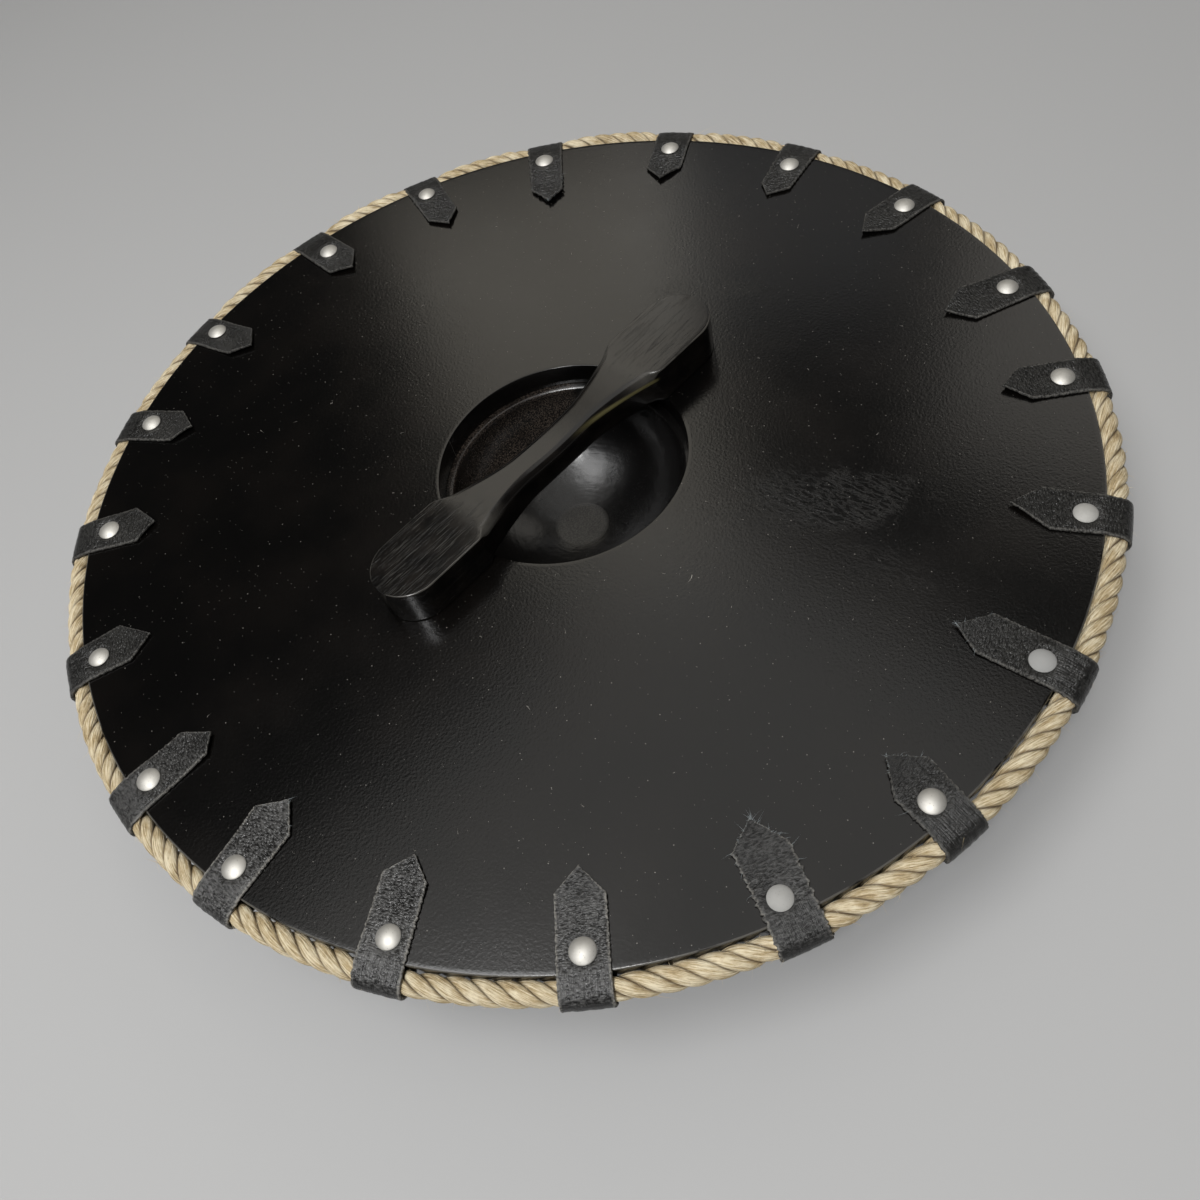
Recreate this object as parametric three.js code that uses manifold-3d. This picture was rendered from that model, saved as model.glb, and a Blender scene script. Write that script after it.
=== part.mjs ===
// Wooden round shield that lies face down, with its back up: a flat painted board with a round hand hole, a
// turned bowl of a boss on the front behind the hole, a carved handle across it, and a rope laid round the
// edge under leather clips, each with one rivet.
// Millimetres, +Z up. The origin is under the middle of the boss, on the surface that the shield lies on,
// and +X runs along the handle.

import * as THREE from "three";
import { mergeVertices } from "three/addons/utils/BufferGeometryUtils.js";
import Module from "manifold-3d";

const manifoldLibrary = await Module();
manifoldLibrary.setup();

// Driving dimensions

const fitGap = 0.3; // between pieces that touch

const boardRadius = 300;
const boardThickness = 15;
const boardEdgeBevel = 0.8;
const handHoleRadius = 75.4;

const bossMouthStep = 2.4; // the mouth is this much smaller in radius than the hand hole
const bossLipRound = 2.4; // rounding from the flange's top into the bowl
const bossDepth = 50.7; // from the flange's top to the bowl's floor
const bossFloorRadius = 16.2; // the flat turned into the bottom of the bowl
const bossFloorThickness = 9;
const bossWall = 9;
const bossFootRadius = 24; // the flat that the shield lies on
const bossFlangeOverlap = 16.6; // how far the flange reaches past the hand hole
const bossFlangeThickness = 8;
const bossFlangeBevel = 2;

const handlePaddleLength = 56.6; // from the edge of the hand hole to the handle's end
const handlePaddleWidth = 42.6;
const handleGripWidth = 21;
const handleFlareLength = 52; // from the hand hole's edge inward, where the paddle narrows to the grip
const handleHeight = 25;
const handleShift = 4; // the handle's middle lies this far from the hole's, away from +X
const gripDip = 4.5; // how far the grip's top sinks below the paddles
const gripCornerRound = 6;
const paddleCornerRound = 0.9;

const ropeDiameter = 11.8;

const clipCount = 20;
const clipWidth = 25.4; // where the strap goes round the rope
const leatherThickness = 1.7;
const firstClipAngle = 28.4; // degrees from the handle's axis, and the clips run clockwise from there

const rivetInset = 10.5; // from the board's edge to a rivet that sits no deeper than most
const rivetCapRadius = 6.6;
const rivetCapHeight = 1.9;
const rivetShankRadius = 2;

// How each hand-cut clip differs from the next, in millimetres and degrees, with clockwise as plus:
// drift, anticlockwise from its even place round the rim; deeper, how much further in its rivet sits;
// offset, of the strap's middle from the rivet; lean, of the flap at its point; width of the flap at its
// shoulders; how far in from the board's edge the left and right shoulders and the point lie, seen from
// the rim; and side, how far the point sits from the flap's middle.
const clipCuts = [
  { drift: -0.1, deeper: 1, offset: 0, lean: 1, width: 25, left: 34, right: 32, point: 46, side: 0 },
  { drift: -0.2, deeper: 3, offset: 0, lean: 4, width: 21, left: 37, right: 37, point: 47, side: -2 },
  { drift: -0.4, deeper: 1, offset: -1, lean: -2, width: 25, left: 33, right: 32, point: 48, side: 0 },
  { drift: -2.3, deeper: 1, offset: 0, lean: 1, width: 28, left: 37, right: 40, point: 53, side: 0 },
  { drift: 0.1, deeper: 1, offset: 0, lean: 0, width: 25, left: 33, right: 31, point: 45, side: 1 },
  { drift: -0.9, deeper: 0, offset: -1, lean: 0, width: 27, left: 32, right: 27, point: 48, side: 0 },
  { drift: -1.3, deeper: 0, offset: -1, lean: -2, width: 25, left: 41, right: 39, point: 54, side: 3 },
  { drift: -1.5, deeper: -1, offset: -1, lean: -3, width: 27, left: 26, right: 21, point: 39, side: 2 },
  { drift: 0.1, deeper: -1, offset: -2, lean: -1, width: 27, left: 32, right: 37, point: 49, side: -1 },
  { drift: 0.0, deeper: -1, offset: 0, lean: 0, width: 25, left: 35, right: 37, point: 49, side: 0 },
  { drift: -0.4, deeper: 0, offset: 1, lean: 3, width: 24, left: 38, right: 40, point: 51, side: -2 },
  { drift: -0.8, deeper: 0, offset: -1, lean: 1, width: 27, left: 38, right: 40, point: 52, side: -1 },
  { drift: 1.8, deeper: 0, offset: -1.5, lean: 3, width: 23, left: 41, right: 38, point: 50, side: -2 },
  { drift: 1.2, deeper: -1, offset: 1, lean: 6, width: 28, left: 26, right: 26, point: 41, side: -3 },
  { drift: 0.3, deeper: 2, offset: -1, lean: 7, width: 27, left: 31, right: 30, point: 43, side: -2 },
  { drift: 0.7, deeper: 1, offset: -2, lean: 4, width: 26, left: 32, right: 31, point: 44, side: -1 },
  { drift: 1.7, deeper: -2, offset: -2, lean: 3, width: 26, left: 32, right: 33, point: 44, side: -1 },
  { drift: -0.4, deeper: 7, offset: -1, lean: 7, width: 27, left: 38, right: 33, point: 49, side: 0 },
  { drift: 0.6, deeper: 0, offset: 1, lean: 5, width: 23, left: 41, right: 41, point: 54, side: 0 },
  { drift: 0.6, deeper: 2, offset: 1, lean: 0, width: 23, left: 45, right: 51, point: 61, side: 1 },
];

// How finely the round forms are divided

const rimSegments = 80;
const bossSegments = 36;
const bowlSteps = 5;
const ropeSides = 8;
const holeSides = 6;
const rivetSegments = 8;
const wrapSteps = 5;
const handleCornerSteps = 2;
const handleFlareSteps = 5;
const handleEndSteps = 5;

// Places that follow from the dimensions

const bossTop = bossFloorThickness + bossDepth;
const boardFront = bossTop + fitGap;
const boardMiddle = boardFront + boardThickness / 2;
const boardBack = boardFront + boardThickness;
const ropeRadius = ropeDiameter / 2;
const ropeCentreRadius = boardRadius + fitGap + ropeRadius;
const strapUnderside = boardThickness / 2 + fitGap; // above the board's mid-plane
const strapTop = strapUnderside + leatherThickness;

// Materials

const paintedWood = { color: 0x17171a, roughness: 0.35, metalness: 0 };
const oiledWood = { color: 0x1a1411, roughness: 0.5, metalness: 0 };
const strawRope = { color: 0xcabd94, roughness: 0.9, metalness: 0 };
const blackLeather = { color: 0x2c2c2f, roughness: 0.6, metalness: 0 };
const nickel = { color: 0xa9a9a6, roughness: 0.3, metalness: 1 };

function addPiece(shield, name, geometry, finish) {
  const mesh = new THREE.Mesh(geometry, new THREE.MeshStandardMaterial(finish));
  mesh.name = name;
  shield.add(mesh);
  return mesh;
}

// Solids for cutting

function toSolid(geometry) {
  const shell = geometry.clone();
  shell.deleteAttribute("normal");
  shell.deleteAttribute("uv");
  const merged = mergeVertices(shell, 1e-4);
  const vertProperties = new Float32Array(merged.attributes.position.array);
  const triVerts = new Uint32Array(merged.index.array);
  return new manifoldLibrary.Manifold(new manifoldLibrary.Mesh({ numProp: 3, vertProperties, triVerts }));
}

function toGeometry(solid) {
  const { vertProperties, triVerts } = solid.getMesh();
  const geometry = new THREE.BufferGeometry();
  geometry.setAttribute("position", new THREE.BufferAttribute(new Float32Array(vertProperties), 3));
  geometry.setIndex(new THREE.BufferAttribute(new Uint32Array(triVerts), 1));
  geometry.computeVertexNormals();
  return geometry;
}

// A closed profile of [radius, height] points, anticlockwise, turned about the vertical axis
function turned(profile, segments) {
  const points = profile.map(([radius, height]) => new THREE.Vector2(radius, height));
  const geometry = new THREE.LatheGeometry(points, segments);
  geometry.rotateX(Math.PI / 2);
  return geometry;
}

// Where each clip and its rivet sit

function clipCut(index) {
  return clipCuts[index % clipCuts.length];
}

function clipAngle(index) {
  const even = firstClipAngle - (index * 360) / clipCount;
  return THREE.MathUtils.degToRad(even + clipCut(index).drift);
}

function rivetRadius(index) {
  return boardRadius - rivetInset - clipCut(index).deeper;
}

// A cutter for one rivet's clearance hole, on the +X side, right through the board and both flaps
function shankHoleCutter(index) {
  const radius = rivetShankRadius + fitGap;
  const cutter = new THREE.CylinderGeometry(radius, radius, 4 * strapTop, holeSides);
  cutter.rotateX(Math.PI / 2);
  cutter.translate(rivetRadius(index), 0, boardMiddle);
  return cutter;
}

// The board, a flat ring with both outer edges broken and one small hole for each rivet

function boardGeometry() {
  const bevel = boardEdgeBevel;
  const profile = [
    [handHoleRadius, boardFront],
    [boardRadius - bevel, boardFront],
    [boardRadius, boardFront + bevel],
    [boardRadius, boardBack - bevel],
    [boardRadius - bevel, boardBack],
    [handHoleRadius, boardBack],
    [handHoleRadius, boardFront],
  ];
  let board = toSolid(turned(profile, rimSegments));
  for (let index = 0; index < clipCount; index += 1) {
    const cutter = shankHoleCutter(index);
    cutter.rotateZ(clipAngle(index));
    board = board.subtract(toSolid(cutter));
  }
  return toGeometry(board);
}

// The boss, a turned bowl with a flange under the board, a rounded lip and a small flat foot

function bossGeometry() {
  const mouthRadius = handHoleRadius - bossMouthStep;
  const bowlRadius = mouthRadius - bossLipRound;
  const bowlTop = bossTop - bossLipRound;
  const domeRadius = bowlRadius + bossWall;
  const flangeRadius = handHoleRadius + bossFlangeOverlap;
  const flangeBottom = bossTop - bossFlangeThickness;
  const bevel = bossFlangeBevel;

  // Both faces are parts of ellipses about the mouth's centre that pass through the edge of their flat
  const outerHeight = bowlTop / Math.sqrt(1 - (bossFootRadius / domeRadius) ** 2);
  const innerHeight = (bowlTop - bossFloorThickness) / Math.sqrt(1 - (bossFloorRadius / bowlRadius) ** 2);
  const outerStart = Math.asin(bossFootRadius / domeRadius);
  const outerEnd = Math.acos((bowlTop - flangeBottom) / outerHeight);
  const innerEnd = Math.asin(bossFloorRadius / bowlRadius);

  const profile = [[0, 0]];
  for (let step = 0; step <= bowlSteps; step += 1) {
    const angle = THREE.MathUtils.lerp(outerStart, outerEnd, step / bowlSteps);
    profile.push([domeRadius * Math.sin(angle), bowlTop - outerHeight * Math.cos(angle)]);
  }
  profile.push([flangeRadius - bevel, flangeBottom]);
  profile.push([flangeRadius, flangeBottom + bevel]);
  profile.push([flangeRadius, bossTop]);
  for (let step = 0; step <= 2; step += 1) {
    const angle = (step * Math.PI) / 4;
    profile.push([mouthRadius - bossLipRound * Math.sin(angle), bowlTop + bossLipRound * Math.cos(angle)]);
  }
  for (let step = 1; step <= bowlSteps; step += 1) {
    const angle = THREE.MathUtils.lerp(Math.PI / 2, innerEnd, step / bowlSteps);
    profile.push([bowlRadius * Math.sin(angle), bowlTop - innerHeight * Math.cos(angle)]);
  }
  profile.push([0, bossFloorThickness]);
  return turned(profile, bossSegments);
}

// The handle, a bar with a round-ended paddle on each side of the hole and a narrower, rounded grip between

function handleGeometry() {
  const halfLength = handHoleRadius + handlePaddleLength;
  const flareStart = handHoleRadius - handleFlareLength;
  const gripHalf = handleGripWidth / 2;
  const paddleHalf = handlePaddleWidth / 2;
  const endCentre = halfLength - paddleHalf;
  const endTurn = THREE.MathUtils.degToRad(76);

  // Each station is a place along one half of the handle and the half width there
  const half = [{ along: 0, halfWidth: gripHalf }];
  for (let step = 0; step <= handleFlareSteps; step += 1) {
    const share = step / handleFlareSteps;
    const along = flareStart + handleFlareLength * share;
    half.push({ along, halfWidth: gripHalf + (paddleHalf - gripHalf) * share ** 1.5 });
  }
  for (let step = 0; step <= handleEndSteps; step += 1) {
    const angle = (endTurn * step) / handleEndSteps;
    const along = endCentre + (paddleHalf * Math.sin(angle)) / Math.sin(endTurn);
    half.push({ along, halfWidth: paddleHalf * Math.cos(angle) });
  }
  const mirrored = half.slice(1).map(({ along, halfWidth }) => ({ along: -along, halfWidth }));
  const stations = [...mirrored.reverse(), ...half].reverse();

  const pointsPerCorner = handleCornerSteps + 1;
  const sides = 4 * pointsPerCorner;
  const underside = boardBack + fitGap;
  const paddleTop = boardBack + handleHeight;

  function sectionPoint({ along, halfWidth }, corner, turn) {
    const share = THREE.MathUtils.smoothstep(Math.abs(along), 0, handHoleRadius);
    const top = paddleTop - gripDip * (1 - share);
    const round = THREE.MathUtils.lerp(gripCornerRound, paddleCornerRound, share);
    const right = corner === 0 || corner === 3 ? 1 : -1;
    const upper = corner < 2;
    const across = right * (halfWidth - round) + round * Math.cos(turn);
    const height = (upper ? top - round : underside + round) + round * Math.sin(turn);
    return new THREE.Vector3(along, across, height);
  }

  // A cylinder whose rings become the sections, and whose caps close the two ends
  const geometry = new THREE.CylinderGeometry(1, 1, 1, sides, stations.length - 1);
  const position = geometry.attributes.position;
  const point = new THREE.Vector3();
  for (let index = 0; index < position.count; index += 1) {
    point.fromBufferAttribute(position, index);
    const station = stations[Math.round((0.5 - point.y) * (stations.length - 1))];
    if (Math.hypot(point.x, point.z) < 0.5) {
      position.setXYZ(index, station.along, 0, (underside + paddleTop) / 2);
      continue;
    }
    const turns = Math.atan2(point.x, point.z) / (2 * Math.PI);
    const side = Math.round((turns + 1) * sides) % sides;
    const corner = Math.floor(side / pointsPerCorner);
    const turn = (Math.PI / 2) * (corner + (side % pointsPerCorner) / handleCornerSteps);
    const { x, y, z } = sectionPoint(station, corner, turn);
    position.setXYZ(index, x, y, z);
  }
  geometry.translate(-handleShift, 0, 0);
  geometry.computeVertexNormals();
  return geometry;
}

// The rope, one closed ring against the board's edge, halfway down its thickness

function ropeGeometry() {
  const profile = [];
  for (let side = 0; side <= ropeSides; side += 1) {
    const angle = (2 * Math.PI * (side + 0.5)) / ropeSides;
    const radius = ropeCentreRadius + ropeRadius * Math.cos(angle);
    profile.push([radius, boardMiddle + ropeRadius * Math.sin(angle)]);
  }
  return turned(profile, rimSegments);
}

// One leather clip: a strap folded round the rope, from the back of the board to its front, with a
// pointed end on both faces. foldLine gives one surface of the fold in [radius, height above the board's
// mid-plane]: straight over the board, then round the rope from where a line off the edge touches it.
function foldLine(height, wrapRadius, innerEnd) {
  const toEdge = Math.hypot(ropeCentreRadius - boardRadius, height);
  const edgeAngle = Math.atan2(height, boardRadius - ropeCentreRadius);
  const touchAngle = edgeAngle - Math.acos(Math.min(1, wrapRadius / toEdge));
  const line = [[innerEnd, height], [boardRadius, height]];
  for (let step = 0; step <= wrapSteps; step += 1) {
    const angle = THREE.MathUtils.lerp(touchAngle, -touchAngle, step / wrapSteps);
    line.push([ropeCentreRadius + wrapRadius * Math.cos(angle), wrapRadius * Math.sin(angle)]);
  }
  line.push([boardRadius, -height], [innerEnd, -height]);
  return line;
}

function clipGeometry(index) {
  const cut = clipCut(index);
  const innerEnd = boardRadius - cut.point - clipWidth;
  const chordAllowance = 1 / Math.cos(Math.PI / (2 * wrapSteps));
  const innerWrap = (ropeRadius + fitGap) * chordAllowance;
  const inside = foldLine(strapUnderside, innerWrap, innerEnd);
  const outside = foldLine(strapTop, innerWrap + leatherThickness, innerEnd);
  const section = [...inside, ...outside.reverse()];
  const sectionShape = new THREE.Shape(section.map(([radius, height]) => new THREE.Vector2(radius, height)));
  const fold = new THREE.ExtrudeGeometry(sectionShape, { depth: 2 * clipWidth, bevelEnabled: false });
  fold.rotateX(Math.PI / 2);
  fold.translate(0, clipWidth, boardMiddle);

  // The strap's outline as cut flat, with its point inward, turned about the rivet by its lean
  const toRivet = boardRadius - rivetRadius(index);
  const outerEnd = toRivet + 2 * ropeDiameter;
  const plan = new THREE.Shape([
    new THREE.Vector2(outerEnd, -clipWidth / 2),
    new THREE.Vector2(outerEnd, clipWidth / 2),
    new THREE.Vector2(toRivet, clipWidth / 2),
    new THREE.Vector2(toRivet - cut.left, cut.width / 2),
    new THREE.Vector2(toRivet - cut.point, -cut.side),
    new THREE.Vector2(toRivet - cut.right, -cut.width / 2),
    new THREE.Vector2(toRivet, -clipWidth / 2),
  ]);
  const prismDepth = 4 * (strapTop + ropeDiameter);
  const prism = new THREE.ExtrudeGeometry(plan, { depth: prismDepth, bevelEnabled: false });
  prism.translate(0, -cut.offset, 0);
  prism.rotateZ(THREE.MathUtils.degToRad(cut.lean));
  prism.translate(rivetRadius(index), 0, boardMiddle - prismDepth / 2);

  const strap = toSolid(fold).intersect(toSolid(prism));
  const clip = toGeometry(strap.subtract(toSolid(shankHoleCutter(index))));
  clip.rotateZ(clipAngle(index));
  return clip;
}

// One rivet: a shank through the leather and the board, with a low domed cap on each face

function rivetGeometry(index) {
  const seat = strapTop + fitGap;
  const crown = seat + rivetCapHeight;
  const slope = [0.66 * rivetCapRadius, seat + 0.75 * rivetCapHeight];
  const profile = [
    [0, -crown],
    [slope[0], -slope[1]],
    [rivetCapRadius, -seat],
    [rivetShankRadius, -seat],
    [rivetShankRadius, seat],
    [rivetCapRadius, seat],
    slope,
    [0, crown],
  ];
  const rivet = turned(profile, rivetSegments);
  rivet.translate(rivetRadius(index), 0, boardMiddle);
  rivet.rotateZ(clipAngle(index));
  return rivet;
}

// The whole shield

const shield = new THREE.Group();
shield.name = "round_shield";
addPiece(shield, "board", boardGeometry(), paintedWood);
addPiece(shield, "boss", bossGeometry(), oiledWood);
addPiece(shield, "handle", handleGeometry(), paintedWood);
addPiece(shield, "rope", ropeGeometry(), strawRope);
for (let index = 0; index < clipCount; index += 1) {
  const number = String(index + 1).padStart(2, "0");
  addPiece(shield, `clip_${number}`, clipGeometry(index), blackLeather);
  addPiece(shield, `rivet_${number}`, rivetGeometry(index), nickel);
}

export default shield;
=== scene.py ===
import math

import bpy
import numpy as np
from mathutils import Matrix, Vector


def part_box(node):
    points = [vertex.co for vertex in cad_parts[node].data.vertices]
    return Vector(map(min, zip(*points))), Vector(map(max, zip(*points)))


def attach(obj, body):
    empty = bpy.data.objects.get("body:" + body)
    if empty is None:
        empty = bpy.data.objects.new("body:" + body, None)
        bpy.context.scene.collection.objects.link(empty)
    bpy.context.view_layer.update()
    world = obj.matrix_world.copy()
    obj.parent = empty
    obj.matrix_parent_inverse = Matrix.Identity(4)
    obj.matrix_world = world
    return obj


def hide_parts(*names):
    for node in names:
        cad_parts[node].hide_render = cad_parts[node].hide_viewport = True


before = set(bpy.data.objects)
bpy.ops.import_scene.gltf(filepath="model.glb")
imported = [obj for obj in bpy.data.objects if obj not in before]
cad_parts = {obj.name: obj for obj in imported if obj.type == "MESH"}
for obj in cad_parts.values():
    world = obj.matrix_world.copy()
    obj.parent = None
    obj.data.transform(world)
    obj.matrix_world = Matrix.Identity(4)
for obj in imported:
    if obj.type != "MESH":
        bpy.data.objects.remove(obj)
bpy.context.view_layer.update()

# The board: a flat disc of birch plywood about 15 mm thick, sawn round, with a hand hole sawn in its
# middle and its edges just broken with sandpaper. It is brushed with semi-gloss black paint, which has
# crackled in a few patches and holds a little dust.

BOARD_CORNER = 0.0008
HOLE_CORNER = 0.0004
BOARD_STEPS = 384
PAINT_BLACK = (0.0011, 0.0010, 0.0009, 1)
PAINT_BROWN = (0.0026, 0.0020, 0.0016, 1)
PAINT_WORN = (0.10, 0.095, 0.085, 1)
DUST = (0.36, 0.34, 0.30, 1)
FLATTEN = 1e6


class Value:
    """A socket of a finish. Python's operators on it add Math nodes."""

    def __init__(self, finish, socket):
        self.finish = finish
        self.socket = socket

    def math(self, operation, first, second=0.0):
        return self.finish.node("Math", {"operation": operation}, {0: first, 1: second})

    def __add__(self, other):
        return self.math("ADD", self, other)

    def __sub__(self, other):
        return self.math("SUBTRACT", self, other)

    def __rsub__(self, other):
        return self.math("SUBTRACT", other, self)

    def __mul__(self, other):
        return self.math("MULTIPLY", self, other)

    def __abs__(self):
        return self.math("ABSOLUTE", self)

    def __or__(self, other):
        return self.math("MAXIMUM", self, other)

    __radd__ = __add__
    __rmul__ = __mul__


class Finish:
    """A material being made: its node tree, its shader, and one method that adds any node to it."""

    def __init__(self, name, **constants):
        self.material = bpy.data.materials.new(name)
        self.material.use_nodes = True
        self.tree = self.material.node_tree
        self.shader = self.tree.nodes["Principled BSDF"]
        self.set(**constants)

    def node(self, kind, settings, sockets, output=0):
        """Adds a shader node, sets its settings and its sockets' values or links, and gives an output."""
        made = self.tree.nodes.new("ShaderNode" + kind)
        for name, value in settings.items():
            setattr(made, name, value)
        self.join(made, sockets)
        return Value(self, made.outputs[output])

    def join(self, node, sockets):
        for name, value in sockets.items():
            if isinstance(value, Value):
                self.tree.links.new(value.socket, node.inputs[name])
            else:
                node.inputs[name].default_value = value

    def set(self, **sockets):
        """Sets the shader's own sockets, with an underscore for each space in their names."""
        self.join(self.shader, {name.replace("_", " "): value for name, value in sockets.items()})

    def place(self):
        return self.node("TexCoord", {}, {}, "Object")

    def pattern(self):
        """The piece's own UV place, in metres."""
        return self.node("UVMap", {"uv_map": "UVMap"}, {})

    def mark(self, name):
        """A number that the piece's mesh holds for each of its points."""
        return self.node("Attribute", {"attribute_name": name}, {}, "Fac")

    def mapped(self, place, move=(0, 0, 0), turn=(0, 0, 0), size=(1, 1, 1)):
        """The place as seen from a frame that is moved, turned and sized so."""
        sockets = {"Vector": place, "Location": move, "Rotation": turn, "Scale": size}
        return self.node("Mapping", {"vector_type": "TEXTURE"}, sockets)

    def part(self, place, axis):
        return self.node("SeparateXYZ", {}, {"Vector": place}, axis)

    def length(self, place):
        return self.node("VectorMath", {"operation": "LENGTH"}, {0: place}, "Value")

    def off_axis(self, place):
        """The distance from the Z axis."""
        return self.length(self.mapped(place, size=(1, 1, FLATTEN)))

    def noise(self, place, grain, detail=2.0, roughness=0.5, distortion=0.0):
        """Noise from 0 to 1 whose lumps are about one grain long, in metres."""
        sockets = {"Vector": place, "Scale": 1 / grain, "Detail": detail, "Roughness": roughness}
        return self.node("TexNoise", {}, sockets | {"Distortion": distortion})

    def rings(self, place, grain, detail=3.0):
        """Noise that changes with the distance from the Z axis alone."""
        sockets = {"W": self.off_axis(place), "Scale": 1 / grain, "Detail": detail}
        return self.node("TexNoise", {"noise_dimensions": "1D"}, sockets)

    def step(self, value, start, end):
        """A soft step from 0 at start to 1 at end, whichever is the larger."""
        sockets = {"Value": value, "From Min": start, "From Max": end}
        return self.node("MapRange", {"interpolation_type": "SMOOTHSTEP"}, sockets)

    def blend(self, mask, first, second):
        sockets = {0: mask, 6: first, 7: second}
        return self.node("Mix", {"data_type": "RGBA"}, sockets, 2)

    def specks(self, place, spacing, radius, share):
        """Round spots of one radius, in a share of the cells of a flat pattern, one spacing wide."""
        sockets = {"Vector": place, "Scale": 1 / spacing}
        distance = self.node("TexVoronoi", {"voronoi_dimensions": "2D"}, sockets)
        chance = self.part(Value(self, distance.socket.node.outputs["Color"]), 0)
        spot = self.step(distance, radius / spacing, 0.4 * radius / spacing)
        return spot * self.step(chance, 1 - share - 0.02, 1 - share + 0.02)

    def bump(self, height, distance, under=None):
        """A normal for a height from 0 to 1 over a distance in metres, laid over another normal."""
        sockets = {"Height": height, "Distance": distance}
        if under is not None:
            sockets["Normal"] = under
        return self.node("Bump", {}, sockets)


def cad_points(node):
    """The corners of a CAD node as an array of points, in metres."""
    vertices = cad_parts[node].data.vertices
    points = np.zeros(3 * len(vertices), np.float32)
    vertices.foreach_get("co", points)
    return points.reshape(-1, 3).astype(float)


def from_axis(points):
    """Each point's distance from the Z axis."""
    return np.hypot(points[..., 0], points[..., 1])


def arc(centre, radius, start, end, steps):
    """Points of a circular arc in a flat profile, from one angle to another in degrees."""
    angle = np.radians(np.linspace(start, end, steps))
    return np.stack([centre[0] + radius * np.cos(angle), centre[1] + radius * np.sin(angle)], -1)


def level(first, last, steps):
    """Points along a straight line of a profile, without its two ends."""
    share = np.linspace(0, 1, steps + 2)[1:-1, None]
    return np.array(first) * (1 - share) + np.array(last) * share


def turned(profile, steps):
    """Carries a profile of [radius, height] points round the Z axis: rows run along it, columns round."""
    angle = np.linspace(0, 2 * math.pi, steps, endpoint=False)
    radius, height = profile[:, :1], profile[:, 1:]
    return np.stack(np.broadcast_arrays(radius * np.cos(angle), radius * np.sin(angle), height), -1)


def face_corners(values, middle):
    """The values at the corners of each face: squares of four neighbours, and the fans of triangles from
    the first and last row to the middle of each."""
    squares = [values[:, :-1, :-1], values[:, :-1, 1:], values[:, 1:, 1:], values[:, 1:, :-1]]
    first = np.stack([values[:, 0, 1:], values[:, 0, :-1], middle[:, 0]], 2)
    last = np.stack([values[:, -1, :-1], values[:, -1, 1:], middle[:, 1]], 2)
    size = values.shape[-1]
    fans = np.concatenate([first.reshape(-1, 3, size), last.reshape(-1, 3, size)])
    return np.stack(squares, 3).reshape(-1, 4, size), fans


def surface(name, grids, finish, round_rows=False, pattern=None, marks={}):
    """Makes one mesh of grids of points, (grids, rows, columns, 3), with a face between each four
    neighbours. Columns run round to the first again. Rows do too, or each end is closed with a fan of
    triangles to its middle. Faces point outwards. pattern is a UV place in metres for each point, with
    one more column where they run round, and marks are named numbers for each point."""
    count, rows, columns = grids.shape[:3]
    points = grids.reshape(-1, 3)
    index = np.arange(len(points)).reshape(count, rows, columns)
    index = np.concatenate([index, index[:, :, :1]], 2)
    if round_rows:
        index = np.concatenate([index, index[:, :1]], 1)
    middle = (len(points) + np.arange(2 * count)).reshape(count, 2, 1, 1)
    quads, fans = face_corners(index[..., None], np.repeat(middle, columns, 2))
    quads, fans = quads[..., 0], fans[..., 0]
    marks = {mark: np.broadcast_to(value, (count, rows, columns)) for mark, value in marks.items()}
    if round_rows:
        fans = fans[:0]
    else:
        points = np.concatenate([points, grids[:, [0, -1]].mean(2).reshape(-1, 3)])
        for mark, value in marks.items():
            marks[mark] = np.concatenate([value.ravel(), value[:, [0, -1]].mean(2).ravel()])

    # Six times the enclosed volume, which is below 0 where the faces point inwards
    a, b, c, d = (points[quads[:, corner]] for corner in range(4))
    volume = (a * np.cross(b, c)).sum() + (a * np.cross(c, d)).sum()
    a, b, c = (points[fans[:, corner]] for corner in range(3))
    volume += (a * np.cross(b, c)).sum()
    turn = slice(None, None, -1 if volume < 0 else 1)

    mesh = bpy.data.meshes.new(name)
    mesh.vertices.add(len(points))
    mesh.vertices.foreach_set("co", points.astype(np.float32).ravel())
    corners = np.concatenate([quads[:, turn].ravel(), fans[:, turn].ravel()])
    sizes = np.repeat([4, 3], [len(quads), len(fans)])
    mesh.loops.add(len(corners))
    mesh.loops.foreach_set("vertex_index", corners.astype(np.int32))
    mesh.polygons.add(len(sizes))
    mesh.polygons.foreach_set("loop_start", (np.cumsum(sizes) - sizes).astype(np.int32))
    mesh.update(calc_edges=True)
    mesh.validate()
    mesh.shade_smooth()
    if pattern is not None:
        centre = np.repeat(pattern[:, [0, -1]].mean(2, keepdims=True), columns, 2)
        squares, tips = face_corners(pattern, centre)
        places = np.concatenate([squares[:, turn].ravel(), tips[:len(fans), turn].ravel()])
        mesh.uv_layers.new(name="UVMap").data.foreach_set("uv", places.astype(np.float32))
    for mark, value in marks.items():
        attribute = mesh.attributes.new(mark, "FLOAT", "POINT")
        attribute.data.foreach_set("value", np.asarray(value, np.float32).ravel())
    mesh.materials.append(finish.material)
    piece = bpy.data.objects.new(name, mesh)
    bpy.context.scene.collection.objects.link(piece)
    return piece


board_points = cad_points("board")
board_radius = from_axis(board_points).max()
hole_radius = from_axis(board_points).min()
board_front = board_points[:, 2].min()
board_back = board_points[:, 2].max()
board_middle = (board_front + board_back) / 2


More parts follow.
